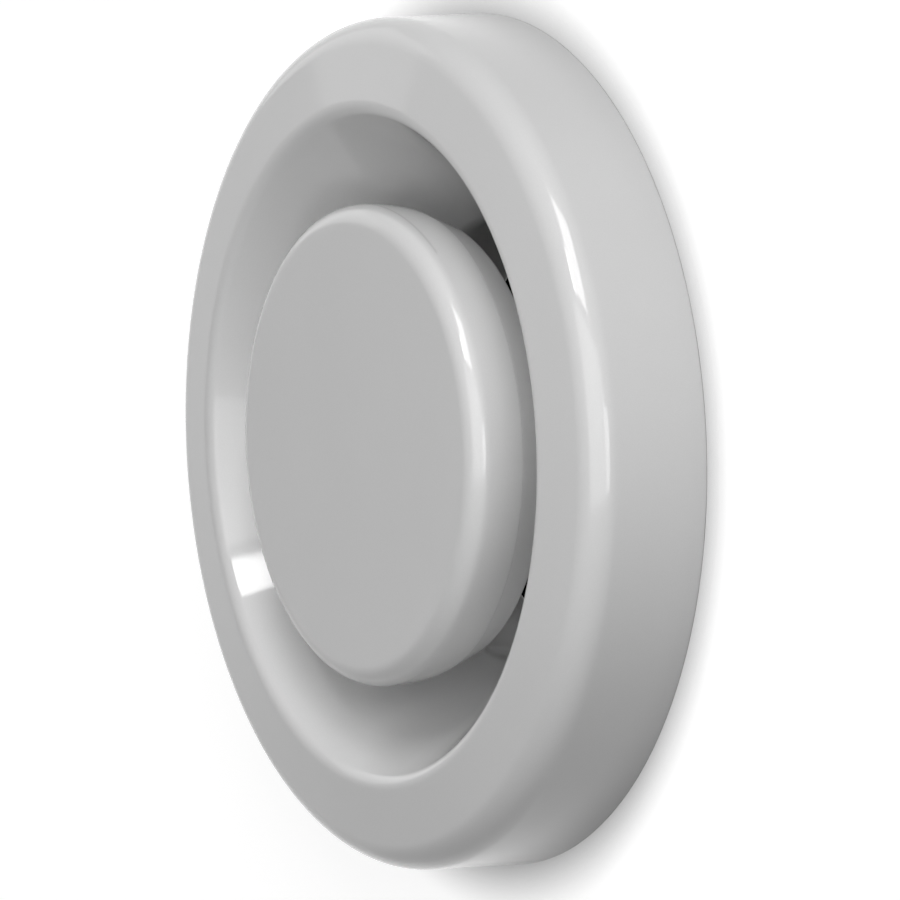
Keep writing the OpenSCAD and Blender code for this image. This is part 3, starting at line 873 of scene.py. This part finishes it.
@dataclass
class Strip:
    """A flat strip carried along a path in the section, and rounded round the valve's axis.

    Attributes:
        path: the middle of the strip's thickness, as (radius, front) rows, where a negative radius
            lies on the far side of the axis.
        thickness: the strip's thickness.
        half_width: half the strip's width at each row of the path.
        wrap: how far the strip follows the round wall at each row, from 0 to 1.
        edge_r: radius of its edges.
    """

    path: np.ndarray
    thickness: float
    half_width: np.ndarray
    wrap: np.ndarray
    edge_r: float = 0.25 * MM

    def surface(self) -> Surface:
        """Carries a rounded rectangle along the path.

        At each row the rectangle stands across the path, along its normal n in the section and the
        tangent direction u. A point at height h and width w lies at the path's radius plus h times n,
        drawn in to the square root of that radius squared less w squared where the strip is wrapped.

        Returns:
            The strip's surface, with flat caps.
        """
        run = np.gradient(self.path, axis=0)
        unit = run / np.linalg.norm(run, axis=1, keepdims=True)
        normal = np.column_stack((-unit[:, 1], unit[:, 0]))
        half_t = self.thickness / 2
        corners = np.array(((-1.0, -1.0), (1.0, -1.0), (1.0, 1.0), (-1.0, 1.0)))
        widest = float(self.half_width.max())
        box = supported(rounded(corners * (widest, half_t), self.edge_r, 3), 0.6 * MM)
        box = box[:-1] if np.allclose(box[0], box[-1]) else box
        side = np.sign(box[:, 0]) * (widest - np.abs(box[:, 0]))
        reach = np.clip(np.abs(box[:, 0]) / widest, 0, 1)
        width = np.sign(box[:, 0])[None, :] * self.half_width[:, None] * reach[None, :] + 0 * side[None, :]
        height = box[:, 1][None, :]
        radius = self.path[:, :1] + height * normal[:, :1]
        front = self.path[:, 1:] + height * normal[:, 1:]
        drawn = np.sign(radius) * np.sqrt(np.maximum(radius**2 - (self.wrap[:, None] * width) ** 2, 0))
        points = np.stack((drawn, -front, width), axis=-1)
        return Surface(points, capped=True)


@dataclass
class Bridge:
    """The strip across the neck with its rivets, and the threaded bush staked in its middle."""

    neck_r: float = 35.5 * MM
    neck_outer_r: float = 36.5 * MM
    back: float = -18.5 * MM
    thickness: float = 1.5 * MM
    width: float = 16.0 * MM
    hub_r: float = 14.0 * MM
    bend_r: float = 2.5 * MM
    ear: float = 9.5 * MM
    rivet_r: float = 1.6 * MM
    head_r: float = 2.6 * MM
    head_height: float = 1.3 * MM
    rivet_pitch: float = 7.0 * MM
    rivet_margin: float = 0.5 * MM
    bore_r: float = 4.06 * MM
    bush_r: float = 7.0 * MM
    flange_r: float = 9.5 * MM
    stake: float = 1.2 * MM

    def build_strip(self) -> bpy.types.Object:
        """Carries the strip from one ear's tip over the middle to the other's.

        Half its width is the larger of the strip's own and the round middle's, which is the square
        root of the middle's radius squared less the place across squared.
        """
        half_t = self.thickness / 2
        outer, middle_r = self.neck_r - half_t, self.bend_r - half_t
        bend = (outer - middle_r, self.back + half_t + middle_r)
        tip = np.linspace(self.back + self.ear, bend[1], 14, endpoint=False)
        leg = np.column_stack((np.full_like(tip, outer), tip))
        turn = arc(bend, middle_r, 0, -90, 12)
        flat_r = np.linspace(bend[0], 0, 90)[1:]
        half = np.vstack((leg, turn, np.column_stack((flat_r, np.full_like(flat_r, self.back + half_t)))))
        mirrored = half[:-1][::-1] * (-1, 1)
        path = np.vstack((half, mirrored))
        across = np.abs(path[:, 0])
        round_middle = np.sqrt(np.maximum(self.hub_r**2 - across**2, 0))
        half_width = np.maximum(self.width / 2, round_middle)
        from_tip = self.back + self.ear - path[:, 1]
        corner = 1.5 * MM
        cut = corner - np.sqrt(np.maximum(corner**2 - np.maximum(corner - from_tip, 0) ** 2, 0))
        wrap = np.clip((across - self.hub_r) / (bend[0] - self.hub_r), 0, 1)
        strip = Strip(path, self.thickness, half_width - cut, wrap)
        return dress(strip.surface().mesh("bridge_strip"), ZINC_STRIP, "zinc_plate", "valve", "bridge")

    def rivet(self, inner_r: float, outer_r: float) -> Surface:
        """A rivet through walls between two radii, drawn along its own -Y, with a dome at each end.

        A dome is a quarter of an ellipse, head_r wide and head_height high.

        Args:
            inner_r: radius of the inner wall's inside.
            outer_r: radius of the outer wall's outside.

        Returns:
            The rivet's surface.
        """
        seat = math.sqrt(inner_r**2 - self.head_r**2)
        lift = np.radians(np.linspace(0, 90, 13))
        rim, rise = self.head_r * np.cos(lift), self.head_height * np.sin(lift)
        inner = np.column_stack((rim, seat - rise))[::-1]
        outer = np.column_stack((rim, outer_r + rise))
        section = np.vstack((inner, (self.rivet_r, seat), (self.rivet_r, outer_r), outer))
        section[[0, -1], 0] = 0
        return turned(section, 32, closed=False)

    def build_rivets(self) -> bpy.types.Object:
        """Sets four rivets through the ears and the neck."""
        turn = math.degrees(math.asin(self.rivet_pitch / 2 / self.neck_r))
        place = self.back + self.ear - self.rivet_margin - self.head_r
        places = [on_wall(side + way * turn, place) for side in (0, 180) for way in (-1, 1)]
        mesh = self.rivet(self.neck_r - self.thickness, self.neck_outer_r).mesh("bridge_rivet_set", places)
        return dress(mesh, RIVET_STEEL, "rivet_steel", "valve", "bridge_rivets")

    def build_bush(self) -> bpy.types.Object:
        """Turns the bush: flange in front, body, and the collar staked out behind the strip."""
        reach = Reach.of("spindle_bush")
        front = self.back + self.thickness
        mouth = 0.5 * MM
        corners = np.array((
            (self.bore_r, reach.back + mouth), (self.bore_r + mouth, reach.back), (self.bush_r, reach.back),
            (self.bush_r, self.back - self.stake), (self.bush_r + self.stake, self.back),
            (self.bush_r, self.back), (self.bush_r, front), (self.flange_r, front),
            (self.flange_r, reach.front), (self.bore_r + mouth, reach.front), (self.bore_r, reach.front - mouth),
        ))
        mesh = turned(supported(rounded(corners, 0.15 * MM, 3)), 120).mesh("bush_turning")
        return dress(mesh, BUSH_BRASS, "bush_brass", "valve", "spindle_bush")


@dataclass
class BayonetLug:
    """One U-shaped lug on the neck, with its two rivets' and its stud's places."""

    angle: float
    neck_outer_r: float = 36.5 * MM
    leg_outer_r: float = 47.1 * MM
    back: float = -19.0 * MM
    length: float = 14.0 * MM
    thickness: float = 1.5 * MM
    width: float = 12.0 * MM
    bend_r: float = 2.5 * MM

    def build(self, number: int) -> bpy.types.Object:
        """Carries the strip down the neck, across and up beside the sleeve.

        Args:
            number: the lug's number, for its name.

        Returns:
            The lug.
        """
        half_t = self.thickness / 2
        middle_r = self.bend_r - half_t
        foot_r, leg_r = self.neck_outer_r + half_t, self.leg_outer_r - half_t
        tip, low = self.back + self.length, self.back + self.bend_r
        down = np.linspace(tip, low, 20, endpoint=False)
        across = np.linspace(foot_r + middle_r, leg_r - middle_r, 6)[1:-1]
        path = np.vstack((
            np.column_stack((np.full_like(down, foot_r), down)),
            arc((foot_r + middle_r, low), middle_r, 180, 270, 10),
            np.column_stack((across, np.full_like(across, self.back + half_t))),
            arc((leg_r - middle_r, low), middle_r, 270, 360, 10),
            np.column_stack((np.full_like(down, leg_r), down[::-1])),
        ))
        from_tip = tip - path[:, 1]
        corner = 2.0 * MM
        cut = corner - np.sqrt(np.maximum(corner**2 - np.maximum(corner - from_tip, 0) ** 2, 0))
        strip = Strip(path, self.thickness, self.width / 2 - cut, np.ones(len(path)))
        surface = strip.surface()
        turn = np.array(Matrix.Rotation(-math.radians(self.angle), 3, "Y"))
        surface.points = surface.points @ turn.T
        mesh = surface.mesh(f"lug_strip_{number}")
        return dress(mesh, ZINC_STRIP, "zinc_plate", "valve", f"bayonet_lug_{number}")


@dataclass
class BayonetSet:
    """The three lugs with their rivets and studs."""

    angles: tuple[float, ...] = (90.0, 210.0, 330.0)
    pin_r: float = 2.25 * MM
    pin_head_r: float = 3.5 * MM
    pin_head_height: float = 1.2 * MM
    pin_front: float = -10.0 * MM
    pin_tip: float = 49.2 * MM
    bridge: Bridge = field(default_factory=Bridge)

    def build(self) -> list[bpy.types.Object]:
        """Makes the lugs, then their rivets and studs, each set as one piece."""
        made = [BayonetLug(angle).build(number + 1) for number, angle in enumerate(self.angles)]
        lug = BayonetLug(0)
        head = self.bridge.head_r
        places = (lug.back + lug.bend_r + head, lug.back + lug.length - self.bridge.rivet_margin - head)
        rivet = self.bridge.rivet(self.bridge.neck_r, lug.neck_outer_r + lug.thickness)
        rivets = rivet.mesh("lug_rivet_set", [on_wall(a, place) for a in self.angles for place in places])
        made.append(dress(rivets, RIVET_STEEL, "rivet_steel", "valve", "lug_rivets"))
        leg_in_r = lug.leg_outer_r - lug.thickness
        seat = math.sqrt(leg_in_r**2 - self.pin_head_r**2)
        corners = np.array((
            (0, seat - self.pin_head_height), (self.pin_head_r, seat - self.pin_head_height),
            (self.pin_head_r, seat), (self.pin_r, seat), (self.pin_r, self.pin_tip), (0, self.pin_tip),
        ))
        section = supported(rounded(corners, 0.3 * MM, closed=False), closed=False)
        stud = turned(section, 48, closed=False)
        studs = stud.mesh("bayonet_stud_set", [on_wall(a, self.pin_front) for a in self.angles])
        made.append(dress(studs, PIN_STEEL, "pin_steel", "valve", "bayonet_pins"))
        return made


# Studio


@dataclass(frozen=True)
class SoftBox:
    """A square or oblong lamp that faces the valve.

    Attributes:
        name: the lamp's name.
        azimuth: its direction round the valve in degrees, 0 from the room and 90 from +X.
        elevation: its height in degrees.
        distance: its distance in metres.
        width: its width in metres.
        height: its height in metres.
        watts: its power.
    """

    name: str
    azimuth: float
    elevation: float
    distance: float
    width: float
    height: float
    watts: float

    def build(self, target: Vector) -> bpy.types.Object:
        """Hangs the lamp and aims it at the target."""
        lamp = bpy.data.lights.new(self.name, "AREA")
        lamp.shape = "RECTANGLE"
        lamp.size, lamp.size_y = self.width, self.height
        lamp.energy = self.watts
        box = bpy.data.objects.new(self.name, lamp)
        away = direction(self.azimuth, self.elevation)
        box.location = target + away * self.distance
        box.rotation_euler = away.to_track_quat("Z", "Y").to_euler()
        bpy.context.scene.collection.objects.link(box)
        return box


def direction(azimuth: float, elevation: float) -> Vector:
    """Unit vector from the valve towards an azimuth and elevation in degrees."""
    a, e = math.radians(azimuth), math.radians(elevation)
    return Vector((math.sin(a) * math.cos(e), -math.cos(a) * math.cos(e), math.sin(e)))


@dataclass
class Studio:
    """White wall, soft lamps and the camera at the photograph's angle."""

    azimuth: float = 60.8
    elevation: float = 5.3
    distance: float = 5.6
    pixels_per_metre: float = 6190.0
    face_pixel: tuple[float, float] = (379.2, 444.9)
    face_front: float = 21.8 * MM
    hole_r: float = 49.6 * MM
    wall_front: float = 0.05 * MM
    wall_reach: float = 3.0
    floor_drop: float = 1.6
    seen_paint: float = 0.40
    bounce_paint: float = 0.12
    paint_glow: float = 0.86
    # Painted contact shadow: how far from an object's foot, and how steeply, ambient occlusion darkens the stage's
    # glow.
    painted_shadow_reach: float = 9.0 * MM
    painted_shadow_power: float = 1.5
    # Painted shade: a black disc in the neck stands in for the unlit depth of the duct.
    painted_shade_r: float = 35.4 * MM
    painted_shade_front: float = -16.8 * MM
    sky: float = 0.05
    boxes: tuple[SoftBox, ...] = (
        SoftBox("key softbox", 49, 9, 1.6, 1.8, 1.2, 10.8),
        SoftBox("window softbox", 51, 48, 1.6, 0.62, 0.75, 8.6),
        SoftBox("side softbox", 84, 2, 1.6, 0.4, 0.6, 2.8),
        SoftBox("window lamp", 33.5, 38.2, 1.6, 0.16, 0.30, 1.8),
        SoftBox("left softbox", -70, 20, 1.6, 0.8, 0.8, 0.9),
        SoftBox("rear softbox", 215, 30, 1.6, 0.8, 0.8, 6.0),
    )

    def stage_paint(self, name: str) -> bpy.types.Material:
        """Pale paint that keeps shadows, bounces little light, and lets rays through from behind.

        To camera, glossy and transmission rays it has its own tone, and adds a glow to the light that
        falls on it, so it clips to white where nothing shades it. An ambient occlusion node fades the
        glow towards the foot of whatever stands on it, as a painted contact shadow.

        Args:
            name: the material's name.

        Returns:
            The material.
        """
        g = Graph(name)
        g.tree.nodes.remove(g.shader)
        path = g.add("ShaderNodeLightPath").outputs
        seen = g.math("MAXIMUM", path["Is Glossy Ray"], path["Is Transmission Ray"])
        seen = g.math("MAXIMUM", path["Is Camera Ray"], seen)
        level = g.math("MULTIPLY_ADD", seen, self.seen_paint - self.bounce_paint, self.bounce_paint)
        paint = g.add("ShaderNodeBsdfDiffuse", {"Color": level}).outputs["BSDF"]
        # Painted contact shadow: ambient occlusion darkens the glow near the foot of the valve.
        painted_shadow_ao = g.add("ShaderNodeAmbientOcclusion", {"Distance": self.painted_shadow_reach}).outputs["AO"]
        painted_shadow_fade = g.math("POWER", painted_shadow_ao, self.painted_shadow_power)
        strength = g.math("MULTIPLY", g.math("MULTIPLY", seen, self.paint_glow), painted_shadow_fade)
        glow = g.add("ShaderNodeEmission", {"Strength": strength}).outputs["Emission"]
        front = g.add("ShaderNodeAddShader", {0: paint, 1: glow}).outputs["Shader"]
        return self.one_sided(g, front, g.add("ShaderNodeNewGeometry").outputs["Backfacing"])

    def painted_shade_air(self) -> bpy.types.Material:
        """Black from the front as painted shade for the unlit depth of a duct, and clear from behind and to shadow
        rays.
        """
        g = Graph("painted duct shade")
        g.tree.nodes.remove(g.shader)
        black = g.add("ShaderNodeBsdfDiffuse", {"Color": (0, 0, 0, 1)}).outputs["BSDF"]
        shadow = g.add("ShaderNodeLightPath").outputs["Is Shadow Ray"]
        behind = g.add("ShaderNodeNewGeometry").outputs["Backfacing"]
        return self.one_sided(g, black, g.math("MAXIMUM", shadow, behind))

    def one_sided(self, g: Graph, front: bpy.types.NodeSocket, clearness: bpy.types.NodeSocket) -> bpy.types.Material:
        """Ends a stage material: its front shader, or nothing where it is clear."""
        clear = g.add("ShaderNodeBsdfTransparent").outputs["BSDF"]
        mixed = g.add("ShaderNodeMixShader", {0: clearness, 1: front, 2: clear})
        g.feed(g.output.inputs["Surface"], mixed.outputs["Shader"])
        return g.material

    def build_wall(self) -> bpy.types.Object:
        """Lays the wall as a flat ring round the duct's hole, a hair in front of the flange's back."""
        reach = np.geomspace(self.hole_r, self.wall_reach, 24)
        ring = turned(np.column_stack((reach, np.full_like(reach, self.wall_front))), 128, closed=False)
        return self.lay("wall", ring, Vector((0, -1, 0)), self.stage_paint("wall paint"))

    def build_floor(self) -> bpy.types.Object:
        """Lays the floor below the valve, facing up."""
        along = np.linspace(-self.wall_reach, self.wall_reach, 9)
        x, y = np.meshgrid(along, along, indexing="ij")
        sheet = Surface(np.stack((x, y, np.full_like(x, -self.floor_drop)), axis=-1), columns_close=False)
        return self.lay("floor", sheet, Vector((0, 0, 1)), self.stage_paint("floor paint"))

    def build_painted_shade(self) -> bpy.types.Object:
        """Fills the neck with a black disc of painted shade in front of the bridge, facing the room."""
        reach = np.array((self.painted_shade_r, self.painted_shade_r / 2, 0.0))
        disc = turned(np.column_stack((reach, np.full_like(reach, self.painted_shade_front))), 96, closed=False)
        return self.lay("dark", disc, Vector((0, -1, 0)), self.painted_shade_air())

    def lay(self, name: str, surface: Surface, facing: Vector, paint: bpy.types.Material) -> bpy.types.Object:
        """Makes a flat stage object that faces a direction.

        Args:
            name: the object's name.
            surface: its surface.
            facing: the direction of its front.
            paint: its material.

        Returns:
            The stage object.
        """
        groups, poles = surface.faces()
        points = np.vstack((surface.points.reshape(-1, 3), poles))
        mesh = mesh_from(name, points, groups)
        if mesh.polygons[0].normal.dot(facing) < 0:
            mesh = mesh_from(name, points, [group[:, ::-1] for group in groups])
        mesh.materials.append(paint)
        sheet = bpy.data.objects.new(name, mesh)
        bpy.context.scene.collection.objects.link(sheet)
        return sheet

    def build_sky(self) -> None:
        """Lights the scene softly from all round, and shows white to camera, glossy and clear rays."""
        world = bpy.data.worlds.new("studio light")
        world.use_nodes = True
        bpy.context.scene.world = world
        tree = world.node_tree
        background = tree.nodes["Background"]
        path = tree.nodes.new("ShaderNodeLightPath")
        either = tree.nodes.new("ShaderNodeMath")
        either.operation = "MAXIMUM"
        seen = tree.nodes.new("ShaderNodeMath")
        seen.operation = "MAXIMUM"
        level = tree.nodes.new("ShaderNodeMapRange")
        level.inputs["To Min"].default_value = self.sky
        level.inputs["To Max"].default_value = 1.0
        tree.links.new(path.outputs["Is Glossy Ray"], either.inputs[0])
        tree.links.new(path.outputs["Is Transmission Ray"], either.inputs[1])
        tree.links.new(path.outputs["Is Camera Ray"], seen.inputs[0])
        tree.links.new(either.outputs["Value"], seen.inputs[1])
        tree.links.new(seen.outputs["Value"], level.inputs["Value"])
        tree.links.new(level.outputs["Result"], background.inputs["Strength"])
        background.inputs["Color"].default_value = (1, 1, 1, 1)

    def build_camera(self) -> bpy.types.Object:
        """Sets the camera so that the ring's face lies where the photograph has it.

        The face's middle falls on its pixel when the camera aims at the point that lies as far from
        it, along the camera's right and up, as the picture's middle lies from the pixel.
        """
        away = direction(self.azimuth, self.elevation)
        turn = away.to_track_quat("Z", "Y")
        right, up = turn @ Vector((1, 0, 0)), turn @ Vector((0, 1, 0))
        across = (PHOTO_SIDE / 2 - self.face_pixel[0]) / self.pixels_per_metre
        down = (PHOTO_SIDE / 2 - self.face_pixel[1]) / self.pixels_per_metre
        aim = Vector((0, -self.face_front, 0)) + right * across - up * down
        lens = bpy.data.cameras.new("camera")
        lens.sensor_width = 36.0
        lens.lens = lens.sensor_width * self.distance * self.pixels_per_metre / PHOTO_SIDE
        lens.clip_start, lens.clip_end = 0.1, 100.0
        camera = bpy.data.objects.new("camera", lens)
        camera.rotation_mode = "QUATERNION"
        camera.location = aim + away * self.distance
        camera.rotation_quaternion = turn
        bpy.context.scene.collection.objects.link(camera)
        bpy.context.scene.camera = camera
        return camera

    def build(self) -> None:
        """Sets up the view, the wall and floor, the painted shade disc in the neck, the lamps and the camera."""
        bpy.context.scene.view_settings.view_transform = "Standard"
        self.build_wall()
        self.build_floor()
        self.build_painted_shade()
        self.build_sky()
        for box in self.boxes:
            box.build(Vector((0, 0, 0)))
        self.build_camera()


def dress_frame(name: str, finish: Metal) -> None:
    """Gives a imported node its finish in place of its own, and reports it.

    Args:
        name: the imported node's name.
        finish: its finish.
    """
    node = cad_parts[name]
    node.data.materials.clear()
    node.data.materials.append(finish.material())
    log.info("%s: packed solid, dressed as %s", name, finish.name)


def main() -> None:
    """Builds the studio and the valve's sub-assemblies in order."""
    logging.basicConfig(level=logging.INFO, format="%(name)s: %(message)s")
    Studio().build()

    ring, shell, pan, spindle = (Reach.of(n) for n in ("valve_ring", "disc_shell", "disc_pan", "spindle"))
    front_ring = FrontRing(outer_r=ring.radius, crest=ring.front, neck_back=ring.back)
    front_ring.build_sheet()
    front_ring.build_foam()

    disc = AdjustingDisc(front=shell.front, shell_back=shell.back, pan_back=pan.back, widest_r=shell.radius)
    disc.build_shell()
    disc.build_pan()
    disc.build_fasteners()

    screw = ScrewSpindle(front=spindle.front, back=spindle.back, thread_r=spindle.radius)
    screw.build_rod()
    screw.build_washers()
    screw.build_lock_nut()

    bridge = Bridge()
    bridge.build_strip()
    bridge.build_rivets()
    bridge.build_bush()
    BayonetSet(bridge=bridge).build()

    dress_frame("mounting_frame", GALVANISED)
    dress_frame("stop_clip", SPRING_STEEL)


if __name__ == "__main__":
    main()
